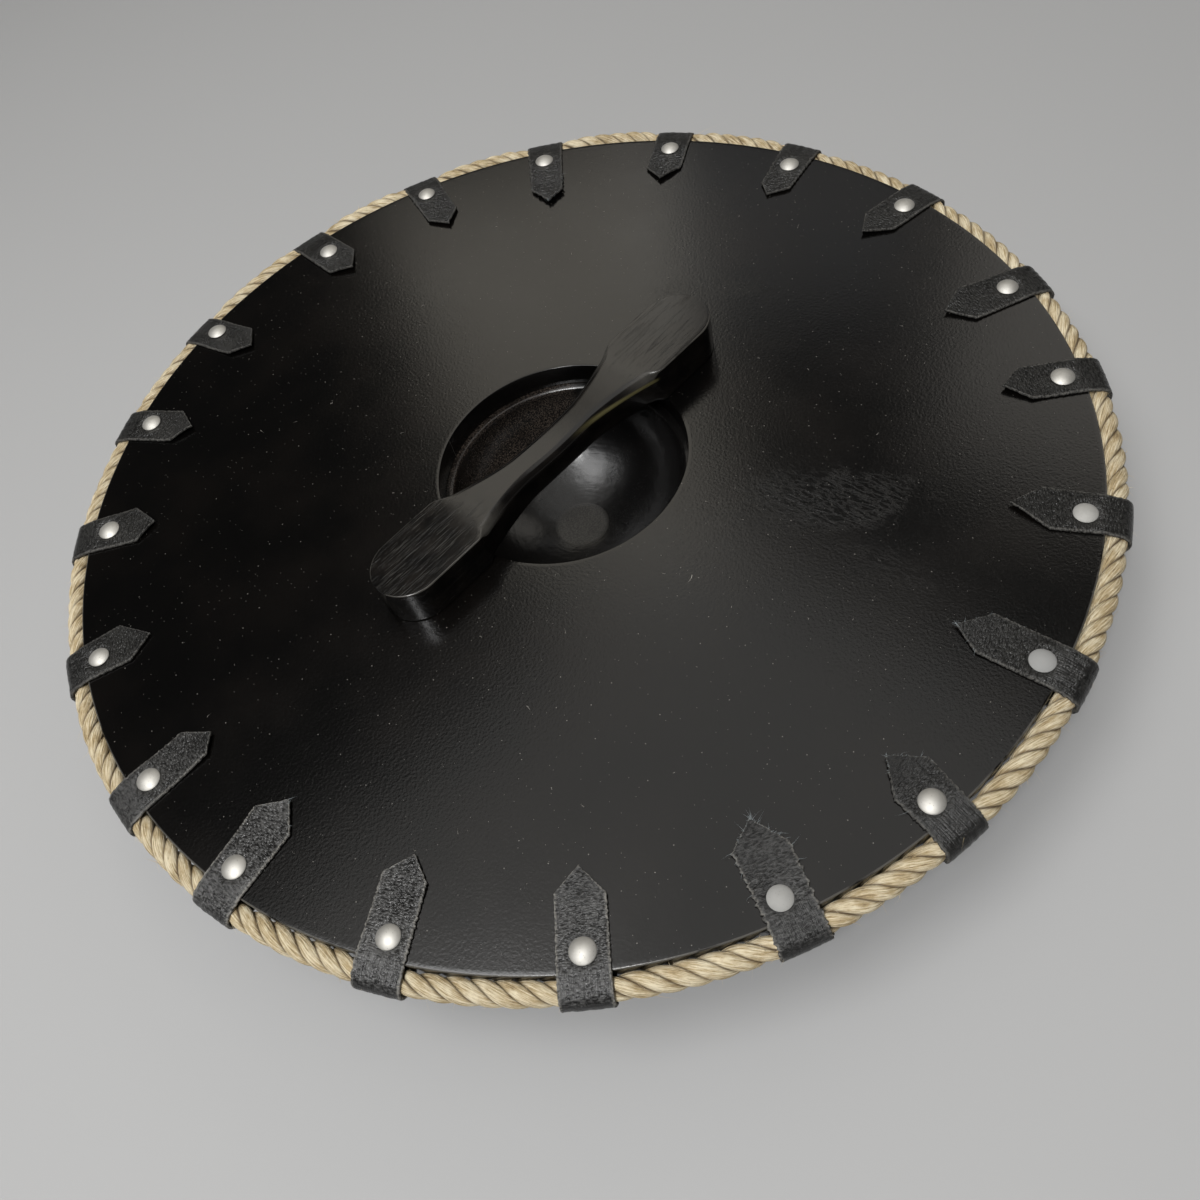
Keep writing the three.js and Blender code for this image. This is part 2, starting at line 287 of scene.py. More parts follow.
def board_profile():
    """A rectangle from the hole to the rim with rounded corners, anticlockwise, and a row of points close
    to each corner, so that the flat faces shade flat. Its back is its front mirrored."""
    inner, outer = hole_radius + HOLE_CORNER, board_radius - BOARD_CORNER
    hold = 0.002
    front = np.concatenate([
        arc((inner, board_front + HOLE_CORNER), HOLE_CORNER, 180, 270, 5),
        level((inner, board_front), (inner + 2 * hold, board_front), 1),
        level((inner, board_front), (outer, board_front), 11),
        level((outer - 2 * hold, board_front), (outer, board_front), 1),
        arc((outer, board_front + BOARD_CORNER), BOARD_CORNER, 270, 360, 6),
    ])
    back = front[::-1] * [1, -1] + [0, board_front + board_back]
    return np.concatenate([front, level(front[-1], back[0], 5), back, level(back[-1], front[0], 5)])


# Crackled patches: x, y, half length, half width, the direction of the length in degrees, and strength
CRACKLED = [
    (0.062, -0.140, 0.052, 0.023, -50, 0.8),
    (0.047, -0.190, 0.034, 0.014, -85, 0.25),
    (0.156, 0.022, 0.044, 0.011, -54, 0.35),
    (-0.122, 0.146, 0.046, 0.016, 76, 0.2),
]
CRACKLED_DEPTH = 0.05
WRINKLE_TURN = -1.45
WRINKLE_STRETCH = 3.4


def black_paint():
    """Black with a hint of brown, crackled in patches, dusty, and worn pale along the rim's corner."""
    paint = Finish("black_paint", Specular_IOR_Level=0.5)
    place = paint.place()
    cloud = paint.noise(place, 0.06, 3)
    ragged = paint.noise(place, 0.016, 3, 0.6)
    crackled = 0.0
    for x, y, half_length, half_width, direction, strength in CRACKLED:
        size = (half_length, half_width, CRACKLED_DEPTH)
        local = paint.mapped(place, (x, y, board_back), (0, 0, math.radians(direction)), size)
        crackled = paint.step(paint.length(local) + ragged * 1.6, 2.1, 1.2) * strength | crackled
    drawn_out = paint.mapped(place, turn=(0, 0, WRINKLE_TURN), size=(WRINKLE_STRETCH, 1, 1))
    wrinkle = paint.noise(drawn_out, 0.0026, 3, 0.65, 0.4)
    ridge = paint.step(abs(wrinkle - 0.5), 0.06, 0.0) * crackled
    fine = paint.noise(place, 0.0016, 2, 0.6)

    dusty = paint.specks(place, 0.015, 0.00042, 0.25) | paint.specks(place, 0.005, 0.00024, 0.2)
    at_rim = paint.step(paint.off_axis(place), board_radius - 0.0011, board_radius - 0.0004)
    at_corner = at_rim * paint.step(paint.part(place, 2), board_back - 0.0013, board_back - 0.0003)
    worn = at_corner * paint.step(paint.noise(place, 0.02, 4), 0.34, 0.52)

    colour = paint.blend(paint.step(cloud, 0.35, 0.7), PAINT_BLACK, PAINT_BROWN)
    colour = paint.blend(dusty * (0.12 + cloud * 0.45), colour, DUST)
    colour = paint.blend(worn * 0.8, colour, PAINT_WORN)
    relief = paint.bump(fine * 0.25 + ridge * 0.17 + wrinkle * crackled * 0.18, 0.00028)
    roughness = 0.13 + cloud * 0.10 + dusty * 0.3
    paint.set(Base_Color=colour, Roughness=roughness, Normal=relief)
    return paint


board_grid = turned(board_profile(), BOARD_STEPS).transpose(1, 0, 2)
board = surface("board_painted", board_grid[None], black_paint(), round_rows=True)
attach(board, "root")
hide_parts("board")

# The boss: a bowl turned on a lathe from one block of wood, fixed to the front of the board by its
# flange, with a rounded lip inside the hand hole and a small flat turned into its floor. It is stained
# black and left satin, so fine turning marks show.

BOSS_MOUTH_STEP = 0.0024
BOSS_LIP_ROUND = 0.0024
BOSS_FLOOR = 0.009
BOSS_FLOOR_RADIUS = 0.0162
BOSS_FLOOR_SINK = 0.00015
BOSS_WALL = 0.009
BOSS_FOOT_RADIUS = 0.024
BOSS_FLANGE = 0.008
BOSS_FLANGE_ROUND = 0.002
BOSS_STEPS = 256
STAIN_BLACK = (0.0020, 0.0018, 0.0017, 1)
# Brown of the pitting, and also a painted reflection on the bowl's far wall
STAIN_BROWN_AND_REFLECTION = (0.055, 0.043, 0.034, 1)

boss_points = cad_points("boss")
boss_top = boss_points[:, 2].max()
flange_radius = from_axis(boss_points).max()


def bowl_curve(radius, depth, start_radius, end_angle, steps):
    """Part of an ellipse about the mouth's centre, from the edge of a flat that lies at that depth up to
    an angle from straight down, as [radius, height] points."""
    start = math.asin(start_radius / radius)
    reach = depth / math.cos(start)
    angle = np.linspace(start, end_angle, steps)
    return np.stack([radius * np.sin(angle), boss_top - BOSS_LIP_ROUND - reach * np.cos(angle)], -1)


def boss_profile():
    """Foot, outer wall, flange, rounded lip, bowl and floor, from the axis round to the axis again."""
    top = boss_top - BOSS_LIP_ROUND
    mouth = hole_radius - BOSS_MOUTH_STEP
    bowl = mouth - BOSS_LIP_ROUND
    flange_low = boss_top - BOSS_FLANGE
    outer_radius = bowl + BOSS_WALL
    outer_reach = top / math.cos(math.asin(BOSS_FOOT_RADIUS / outer_radius))
    outer_end = math.acos((top - flange_low) / outer_reach)
    outer = bowl_curve(outer_radius, top, BOSS_FOOT_RADIUS, outer_end, 40)
    inner = bowl_curve(bowl, top - BOSS_FLOOR, BOSS_FLOOR_RADIUS, math.pi / 2, 60)
    rim = flange_radius - BOSS_FLANGE_ROUND
    sunk = BOSS_FLOOR - BOSS_FLOOR_SINK
    return np.concatenate([
        level((0.0004, 0), (BOSS_FOOT_RADIUS - 0.0002, 0), 8),
        outer,
        level((outer[-1, 0] + 0.0005, flange_low), (rim - 0.0005, flange_low), 3),
        arc((rim, flange_low + BOSS_FLANGE_ROUND), BOSS_FLANGE_ROUND, -90, 0, 6),
        level((flange_radius, flange_low + BOSS_FLANGE_ROUND), (flange_radius, boss_top), 2),
        level((flange_radius, boss_top), (mouth, boss_top), 6),
        arc((mouth, top), BOSS_LIP_ROUND, 90, 180, 10),
        inner[-2::-1],
        [[BOSS_FLOOR_RADIUS - 0.0005, sunk + 0.00006], [BOSS_FLOOR_RADIUS - 0.0012, sunk]],
        level((BOSS_FLOOR_RADIUS - 0.0014, sunk), (0.0004, sunk), 7),
    ])


def turned_stain():
    """Satin black, pitted down to brown, browner on the far wall as a painted reflection, and dusty on
    the floor, with fine turning marks round the axis and grain along X."""
    stain = Finish("turned_black_stain", Specular_IOR_Level=0.5)
    place = stain.place()
    marks = stain.rings(place, 0.0016)
    broad = stain.rings(place, 0.009, 1)
    grain = stain.noise(stain.mapped(place, size=(9, 1, 1)), 0.0013, 3, 0.6)
    cloud = stain.noise(place, 0.022, 3)
    pitted = stain.noise(place, 0.0009, 2, 0.7)
    # Painted reflection: the far wall, towards +Y, is browner; elsewhere the brown is a little pitting
    far_wall_reflection = stain.step(stain.part(place, 1), 0.030, 0.055)
    brown = stain.step(pitted, 0.36, 0.80) * stain.step(cloud + far_wall_reflection * 0.5, 0.70, 1.0)
    on_floor = stain.step(stain.part(place, 2), BOSS_FLOOR + 0.0003, BOSS_FLOOR)
    colour = stain.blend(brown, STAIN_BLACK, STAIN_BROWN_AND_REFLECTION)
    colour = stain.blend(on_floor * stain.step(pitted, 0.4, 0.62) * 0.08, colour, DUST)
    colour = stain.blend(stain.specks(place, 0.0034, 0.00026, 0.35) * 0.10, colour, DUST)
    relief = stain.bump(marks * 0.15 + broad * 0.7 + grain * 0.15 + pitted * 0.1 + cloud * 2.0, 0.00030)
    roughness = 0.14 + pitted * 0.10 + cloud * 0.12 + on_floor * 0.12
    stain.set(Base_Color=colour, Roughness=roughness, Normal=relief)
    return stain


boss = surface("boss_turned", turned(boss_profile(), BOSS_STEPS)[None], turned_stain())
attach(boss, "root")
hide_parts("boss")

# The handle: one piece of open-grained wood across the hand hole, sawn to shape, with a flat paddle at
# each end and a narrower grip whose edges are rounded over and stop near the hole's edge. It is stained
# black, rubbed smooth on the grip and worn back to the wood along one edge.

FLARE_LENGTH = 0.052
GRIP_HALF = 0.0105
GRIP_DIP = 0.0045
GRIP_ROUND = 0.0054
PADDLE_ROUND = 0.0008
END_TURN = 76
HANDLE_ALONG = 260
HANDLE_FLATS = (0.06, 0.25, 0.5, 0.75, 0.94)

# How far inside the hole's edge the grip's rounding is full, on its +Y and its -Y side
ROUND_STOPS = (0.014, 0.007)

STAIN_WARM = (0.0070, 0.0058, 0.0048, 1)
WORN_WOOD = (0.17, 0.15, 0.06, 1)

handle_low, handle_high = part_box("handle")
handle_middle = (handle_low.x + handle_high.x) / 2
handle_half = (handle_high.x - handle_low.x) / 2
paddle_half = (handle_high.y - handle_low.y) / 2


def smooth_step(value, start, end):
    """0 before start, 1 after end, and an S curve between."""
    share = np.clip((value - start) / (end - start), 0, 1)
    return share * share * (3 - 2 * share)


def handle_stations():
    """Places along the handle from its middle, and the half width at each: grip, flare, whose width
    grows with the share to the power 1.5, straight paddle and rounded end."""
    flare_start = hole_radius - FLARE_LENGTH
    end_centre = handle_half - paddle_half
    turn = np.radians(END_TURN) * np.sin(np.linspace(0, math.pi / 2, HANDLE_ALONG // 4))
    end_along = end_centre + paddle_half * np.sin(turn) / math.sin(np.radians(END_TURN))
    along = np.concatenate([np.linspace(0, end_centre, HANDLE_ALONG // 4, endpoint=False), end_along])
    share = np.clip((along - flare_start) / FLARE_LENGTH, 0, 1)
    half_width = GRIP_HALF + (paddle_half - GRIP_HALF) * share**1.5
    half_width[-len(turn):] = paddle_half * np.cos(turn)
    both = np.concatenate([-along[:0:-1], along])
    return both, np.concatenate([half_width[:0:-1], half_width])


def handle_grid():
    """A rounded rectangle at each station, whose top sinks and whose corners round over at the grip."""
    along, half_width = handle_stations()
    beside = np.abs(along)[:, None, None]
    to_paddle = smooth_step(beside, 0, hole_radius)
    top = handle_high.z - GRIP_DIP * (1 - to_paddle)
    corner = np.arange(4)[None, :, None]
    on_left = (corner == 0) | (corner == 3)
    stop = np.where(on_left, *ROUND_STOPS)
    rounded = smooth_step(beside, hole_radius - 0.001, hole_radius - stop)
    round_over = PADDLE_ROUND + (GRIP_ROUND - PADDLE_ROUND) * rounded
    turn = (corner + np.linspace(0, 1, 9)[None, None, :]) * math.pi / 2
    upper = corner < 2
    across = np.where(on_left, 1, -1) * np.maximum(half_width[:, None, None] - round_over, 0)
    across = across + round_over * np.cos(turn)
    height = np.where(upper, top - round_over, handle_low.z + round_over) + round_over * np.sin(turn)

    # Points on the four flats between the corners
    ring = np.stack(np.broadcast_arrays(along[:, None, None], across, height), -1)
    after = np.roll(ring, -1, axis=1)[:, :, :1]
    share = np.array(HANDLE_FLATS)[None, None, :, None]
    flats = ring[:, :, -1:] * (1 - share) + after * share
    grid = np.concatenate([ring, flats], 2)
    grid[..., 0] += handle_middle
    edge = np.zeros(grid.shape[:3])
    edge[:, :2, 1:8] = smooth_step(beside, hole_radius - 0.030, hole_radius - 0.004)
    return grid.reshape(len(along), -1, 3), edge.reshape(len(along), -1)


def carved_stain():
    """Glossy black stain with open grain along X, dusty on the near paddle, and worn back to the wood in
    a thin strip along the grip."""
    stain = Finish("carved_black_stain", Specular_IOR_Level=0.5)
    place = stain.place()
    long_grain = stain.noise(stain.mapped(place, size=(34, 1, 1)), 0.0007, 4, 0.65)
    streak = stain.noise(stain.mapped(place, size=(24, 1, 1)), 0.0006, 2, 0.6)
    edge = stain.mark("edge")
    cloud = stain.noise(place, 0.012, 3)
    along = stain.part(place, 0) - handle_middle
    height = stain.part(place, 2)
    paddle = stain.step(abs(along), hole_radius - 0.026, hole_radius + 0.002)
    near = paddle * stain.step(along, 0.0, -0.001)
    top = stain.step(height, handle_high.z - 0.0007, handle_high.z - 0.0001)
    open_grain = stain.step(long_grain, 0.44, 0.36) * (0.05 + paddle * 0.25 + near * 0.2)
    dusty = stain.step(streak, 0.55, 0.68) * (near * 0.8 + paddle * 0.2) * top
    scuffed = edge * stain.step(cloud, 0.25, 0.5)

    worn_along = stain.step(along, 0.006, 0.046) * stain.step(along, 0.074, 0.069)
    side = stain.step(stain.part(place, 1), -0.006, -0.0085)
    worn_band = stain.step(height, handle_high.z - 0.0076, handle_high.z - 0.0062)
    worn_band = worn_band * stain.step(height, handle_high.z - 0.0040, handle_high.z - 0.0056)
    worn = worn_along * side * worn_band

    colour = stain.blend(stain.step(cloud, 0.3, 0.75), STAIN_BLACK, STAIN_WARM)
    colour = stain.blend(dusty * 0.048 + (1 - paddle) * top * 0.045, colour, DUST)
    colour = stain.blend(scuffed * 0.12, colour, DUST)
    colour = stain.blend(worn * (0.3 + long_grain * 0.6), colour, WORN_WOOD)
    relief = stain.bump((1 - open_grain) * 0.5 + cloud * 0.3, 0.00012)
    roughness = 0.12 + cloud * 0.10 + open_grain * 0.2 + dusty * 0.15 + worn * 0.3
    stain.set(Base_Color=colour, Roughness=roughness, Normal=relief)
    return stain


grid, edge = handle_grid()
handle = surface("handle_carved", grid[None], carved_stain(), marks={"edge": edge})
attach(handle, "root")
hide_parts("handle")

# The rope: straw-coloured natural rope of three strands with a right-hand lay, laid once round the rim
# and held to it by the clips, which pinch it, so it swells a little between them. Its ends meet under a
# clip. Each strand shows its yarns, and loose fibres stand out from it.

ROPE_TURNS = 54
ROPE_SWELL = 0.085
ROPE_WAVER = 0.0003
PINCH_HALF = 0.011
STRAND_SIDES = 26
STRAND_STEPS = ROPE_TURNS * 46
STRAND_LIFT = 0.52
STRAND_RADIUS = 0.485
STRAND_THICK = 0.95
STRAND_WIDE = 1.12
STRAND_UNEVEN = 0.03
LAY_UNEVEN = 0.16
YARNS = 5
YARN_PHASE = 130
YARN_RIDGE = 0.03
# Angles from the strand's outer face over which the painted shade of the grooves comes in
GROOVE_SHADE = (58, 96)
NEAR_SIDE = -122
NEAR_REACH = (105, 40)
NEAR_GAP = -0.0004
FAR_SIDE = 55
FAR_REACH = (62, 20)
FAR_LIFT = 0.0028
FAR_OUT = 0.0006
FIBRES = 2200
STRAW = (0.49, 0.37, 0.20, 1)
STRAW_PALE = (0.86, 0.76, 0.55, 1)
# Dark straw for the darker fibres, and also the painted shade in the grooves
STRAW_DARK_AND_SHADE = (0.09, 0.054, 0.024, 1)

CLIP_NUMBERS = [f"{number:02d}" for number in range(1, 21)]
rivet_centres = {number: sum(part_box(f"rivet_{number}"), Vector()) / 2 for number in CLIP_NUMBERS}
clip_angles = np.array([math.atan2(centre.y, centre.x) for centre in rivet_centres.values()])

rope_points = cad_points("rope")
rope_ring = (from_axis(rope_points).min() + from_axis(rope_points).max()) / 2
rope_radius = np.hypot(from_axis(rope_points) - rope_ring, rope_points[:, 2] - board_middle).max()


def unit(vectors):
    """The same directions, each one long."""
    return vectors / np.linalg.norm(vectors, axis=-1, keepdims=True)


def angle_between(first, second):
    """The smaller angle between two directions, in radians."""
    return np.abs((first - second + math.pi) % (2 * math.pi) - math.pi)


def ripple(seed, length, *places):
    """Seeded unevenness from about -1 to 1: the sum of eight sine waves of about the given length."""
    chance = np.random.default_rng(seed)
    total = 0.0
    for _ in range(8):
        direction = chance.normal(size=len(places))
        direction /= np.linalg.norm(direction) * length * chance.uniform(0.7, 1.5)
        phase = sum(2 * math.pi * part * place for part, place in zip(direction, places))
        total = total + np.sin(phase + chance.uniform(0, 2 * math.pi))
    return total / 3


def rope_line(turn):
    """The rope's ring radius, height and thickness at an angle: thinner under each clip, closer to the
    board on the near side, and higher on part of the far side."""
    clip_half = PINCH_HALF / rope_ring
    nearest = angle_between(turn[..., None], clip_angles).min(-1)
    free = smooth_step(nearest, clip_half, 2.6 * clip_half)
    near = smooth_step(angle_between(turn, math.radians(NEAR_SIDE)), *np.radians(NEAR_REACH))
    far = smooth_step(angle_between(turn, math.radians(FAR_SIDE)), *np.radians(FAR_REACH))
    waver = ROPE_WAVER * ripple(3, 0.35, np.cos(turn), np.sin(turn))
    ring = rope_ring + NEAR_GAP * near * (0.35 + 0.65 * free) + FAR_OUT * far + waver
    height = board_middle + FAR_LIFT * far * (0.3 + 0.7 * free) + waver
    return ring, height, rope_radius * (1 + ROPE_SWELL * free)


def strand_grid(number):
    """One strand: a tube round a helix round the rope's line. Its section is a slightly flattened circle
    with a ridge for each yarn, and the ridges turn the other way from the strands. The second result is
    how far each point lies down in the groove between two strands, from 0 to 1, for the painted shade."""
    turn = clip_angles[0] + np.linspace(0, 2 * math.pi, STRAND_STEPS, endpoint=False)
    x, y = np.cos(turn), np.sin(turn)
    ring, height, thickness = rope_line(turn)
    lay = ROPE_TURNS * turn + 2 * math.pi * number / 3 + LAY_UNEVEN * ripple(5, 0.2, x, y)
    lift = STRAND_LIFT * thickness
    out = ring + lift * np.cos(lay)
    centre = np.stack([out * x, out * y, height - lift * np.sin(lay)], -1)
    along = unit(np.roll(centre, -1, 0) - np.roll(centre, 1, 0))
    outward = np.stack([np.cos(lay) * x, np.cos(lay) * y, -np.sin(lay)], -1)
    outward = unit(outward - (outward * along).sum(1, keepdims=True) * along)
    across = np.cross(along, outward)

    side = np.linspace(-math.pi, math.pi, STRAND_SIDES, endpoint=False)[None]
    yarn = YARNS * side / 2 + YARN_PHASE * turn[:, None]
    ridge = YARN_RIDGE * (np.abs(np.cos(yarn)) - 0.6)
    lump = ripple(11 + number, 0.06, x[:, None], y[:, None], 0.02 * side)
    radius = STRAND_RADIUS * thickness[:, None] * (1 + ridge + STRAND_UNEVEN * lump)
    grid = centre[:, None] + (radius * np.cos(side) * STRAND_THICK)[..., None] * outward[:, None]
    grid += (radius * np.sin(side) * STRAND_WIDE)[..., None] * across[:, None]
    return grid, smooth_step(np.abs(side), *np.radians(GROOVE_SHADE))


def strand_pattern():
    """Metres along the strand and round it, with the yarns' twist taken in."""
    turn = np.linspace(0, 2 * math.pi, STRAND_STEPS + 1)[:, None]
    side = np.linspace(-0.5, 0.5, STRAND_SIDES + 1)[None]
    along = 1.14 * rope_ring * turn
    around = math.pi * rope_radius * (side + YARN_PHASE / YARNS * turn / math.pi)
    return np.stack(np.broadcast_arrays(along, around), -1)


def straw():
    """Pale straw with darker and lighter fibres that follow the yarns, and painted shade in the grooves.
    """
    fibre = Finish("straw_rope", Specular_IOR_Level=0.3)
    thread = fibre.noise(fibre.mapped(fibre.pattern(), size=(14, 1, 1)), 0.00065, 4, 0.75)
    cloud = fibre.noise(fibre.place(), 0.010, 3)
    shade = thread + cloud * 0.4
    colour = fibre.blend(fibre.step(shade, 0.60, 0.84), STRAW, STRAW_PALE)
    colour = fibre.blend(fibre.step(shade, 0.63, 0.50) * 0.75, colour, STRAW_DARK_AND_SHADE)
    # Painted shade: darker in the grooves between the strands, where they shade each other
    colour = fibre.blend(fibre.mark("groove_shade") * 0.92, colour, STRAW_DARK_AND_SHADE)
    relief = fibre.bump(thread, 0.0016)
    fibre.set(Base_Color=colour, Roughness=0.55 + thread * 0.25, Normal=relief)
    return fibre


# A direction that no fibre leaves its root in
TUBE_SIDE = (0.31, -0.22, 0.93)


def fibre_tubes(root, start, bend, length, thickness):
    """A thin three-sided tube for each row of its inputs. It leaves its root in the start direction,
    bends aside with the square of the way gone, and tapers to its tip."""
    share = np.linspace(0, 1, 8)[None, :, None]
    line = root[:, None] + length[:, None] * (start[:, None] * share + bend[:, None] * share**2)
    wide = unit(np.cross(start, TUBE_SIDE))
    deep = np.cross(wide, start)
    turn = np.radians([0, 120, 240])[None, None, :, None]
    ring = wide[:, None, None] * np.cos(turn) + deep[:, None, None] * np.sin(turn)
    return line[:, :, None] + thickness / 2 * (1.05 - share)[..., None] * ring


def loose_rope_fibres(strands):
    """Fibres that leave the strands at random places, along them and outwards, and hang a little."""
    chance = np.random.default_rng(41)
    row = chance.integers(0, STRAND_STEPS, FIBRES)
    side = chance.integers(3, STRAND_SIDES - 3, FIBRES)
    which = chance.integers(0, 3, FIBRES)
    root = strands[which, row, side]
    inner = strands[which, row, (side + STRAND_SIDES // 2) % STRAND_SIDES]
    outward = unit(root - inner) * chance.uniform(0.2, 0.9, (FIBRES, 1))
    forward = unit(strands[which, (row + 2) % STRAND_STEPS, side] - root)
    start = unit(outward + forward * chance.choice([-1, 1], (FIBRES, 1)))
    bend = chance.normal(size=(FIBRES, 3)) * 0.45
    bend[:, 2] -= 0.25
    length = chance.gamma(2.0, 0.0016, (FIBRES, 1)).clip(0.001, 0.009)
    return fibre_tubes(root, start, bend, length, chance.uniform(0.00014, 0.00030, (FIBRES, 1, 1, 1)))


rope_finish = straw()
rope_pattern = strand_pattern()[None]
strand_grids = []
for number in range(3):
    grid, groove_shade = strand_grid(number)
    strand_grids.append(grid)
    name = f"rope_strand_{number + 1}"
    strand = surface(name, grid[None], rope_finish, True, rope_pattern, {"groove_shade": groove_shade})
    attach(strand, "root")
    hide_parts("rope")
loose_fibres = surface("rope_loose_fibres", loose_rope_fibres(np.stack(strand_grids)), rope_finish)
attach(loose_fibres, "root")

# The clips: twenty straps of black leather, each cut by hand to a point at both ends, folded round the
# rope and laid flat on both faces of the board. Pulled tight by its rivet, each is dented there, smooth
# and drawn towards the rope, and wrinkled and a little lifted towards its point.

LEATHER_THICKNESS = 0.0017
CLIP_ALONG = 150
CLIP_BACK = 22
CLIP_INNER = 9
EDGE_TURN = 3
CUT_ROUND = 0.3
WRAP_GAP = 0.0001
DENT_RADIUS = 0.0075
DENT_DEPTH = 0.00045
DENT_SWELL = 0.00035
CREASE = 0.00010
DRAWN_CREASE = 0.00013
CURL = (0.0002, 0.0016)
EDGE_LIFT = 0.0005
FLAP_WAVE = 0.0003
PLAIN_FRAY = 0.00015
LEATHER = (0.024, 0.0235, 0.022, 1)
# Paler grey, painted light on some clips
LEATHER_PAINTED_LIGHT = (0.080, 0.079, 0.077, 1)
# Dark leather tone, and also the painted shade under the rope
LEATHER_DARK_AND_SHADE = (0.0060, 0.0058, 0.0054, 1)
LEATHER_RAW = (0.21, 0.20, 0.18, 1)

# Clips whose upper face is rough, like suede, and how much
ROUGH_CLIPS = {"07": 0.5, "08": 0.85, "09": 1.0, "10": 0.3}

# Clips painted paler grey, as painted light where the lamps catch their gloss, and how much
PAINTED_LIGHT_CLIPS = {"09": 0.6, "10": 0.9, "11": 1.0, "12": 1.0, "13": 0.4}

# Clips whose edges are frayed further than the plain fray, and by how many metres
FRAYED_CLIPS = {
    "02": 0.00015, "08": 0.00010, "09": 0.00030, "11": 0.00008, "19": 0.00010, "20": 0.00030,
}

# Clips with loose fibres at their edges, and how many
FUZZY_CLIPS = {"07": 50, "08": 40, "09": 90, "12": 10, "20": 30}
LEATHER_FUZZ = (0.26, 0.29, 0.30, 1)


def clip_edges(number):
    """The strap's plan, from the CAD node's corners: the directions outwards and aside, the radius of
    its rivet and of its point, and its left and right edges as tables of radius and place aside."""
    centre = rivet_centres[number]
    rivet_at = math.hypot(centre.x, centre.y)
    outward = np.array([centre.x, centre.y]) / rivet_at
    aside = np.array([-outward[1], outward[0]])
    points = cad_points(f"clip_{number}")[:, :2]
    radius, side = points @ outward, points @ aside
    rim = np.hypot(radius - rivet_at, side) > 0.004
    radius, side = radius[rim], side[rim]
    tip = radius.argmin()
    slope = side[tip] / (radius[tip] - rivet_at)
    lean = side - slope * (radius - rivet_at)
    edges = []
    for chosen in (lean > -1e-5, lean < 1e-5):
        order = radius[chosen].argsort()
        edges.append((radius[chosen][order], side[chosen][order]))
    return (outward, aside), rivet_at, radius[tip], edges


def clip_path(tip):
    """The middle of the leather as [radius, height from the board's middle]: over the board's back, down
    round the rope and back under the front, with its bends eased."""
    height = board_back - board_middle + LEATHER_THICKNESS / 2
    wrap = rope_radius + LEATHER_THICKNESS / 2 + WRAP_GAP
    reach = math.hypot(rope_ring - board_radius, height)
    touch = math.atan2(height, board_radius - rope_ring) - math.acos(min(1, wrap / reach))
    angle = np.linspace(touch, -touch, 60)
    round_rope = np.stack([rope_ring + wrap * np.cos(angle), wrap * np.sin(angle)], -1)
    corners = np.concatenate([
        [[tip, height], [board_radius - 0.0002, height]], round_rope,
        [[board_radius - 0.0002, -height], [tip, -height]],
    ])
    length = np.concatenate([[0], np.cumsum(np.linalg.norm(np.diff(corners, axis=0), axis=1))])
    even = np.linspace(0, length[-1], 1200)
    line = np.stack([np.interp(even, length, corners[:, axis]) for axis in range(2)], -1)
    window = np.hanning(27)
    window /= window.sum()
    padded = np.concatenate([2 * line[0] - line[13:0:-1], line, 2 * line[-1] - line[-2:-15:-1]])
    eased = np.stack([np.convolve(padded[:, axis], window, "valid") for axis in range(2)], -1)
    rows = np.linspace(0, 1, CLIP_ALONG)
    rows = np.interp(rows, [0, 0.03, 0.97, 1], [0, 0.012, 0.988, 1])
    picked = [np.interp(rows * even[-1], even, eased[:, axis]) for axis in range(2)]
    return np.stack(picked, -1), rows * even[-1]


def clip_section():
    """One turn round the strap's section: its place across, from -1 to 1, how far it bulges beyond that
    at the rounded cut edges, and its place through the thickness, 1 on the outer face and -1 on the
    inner."""
    outer = np.linspace(1, -1, CLIP_BACK)
    inner = np.linspace(-1, 1, CLIP_INNER)
    turn = np.radians(np.linspace(60, -60, EDGE_TURN))
    across = np.concatenate([outer, np.full(EDGE_TURN, -1.0), inner, np.full(EDGE_TURN, 1.0)])
    beyond = np.concatenate([np.zeros(CLIP_BACK), -np.cos(turn), np.zeros(CLIP_INNER), np.cos(turn)])
    through = np.concatenate([np.ones(CLIP_BACK), np.sin(turn), -np.ones(CLIP_INNER), -np.sin(turn)])
    return across, beyond, through


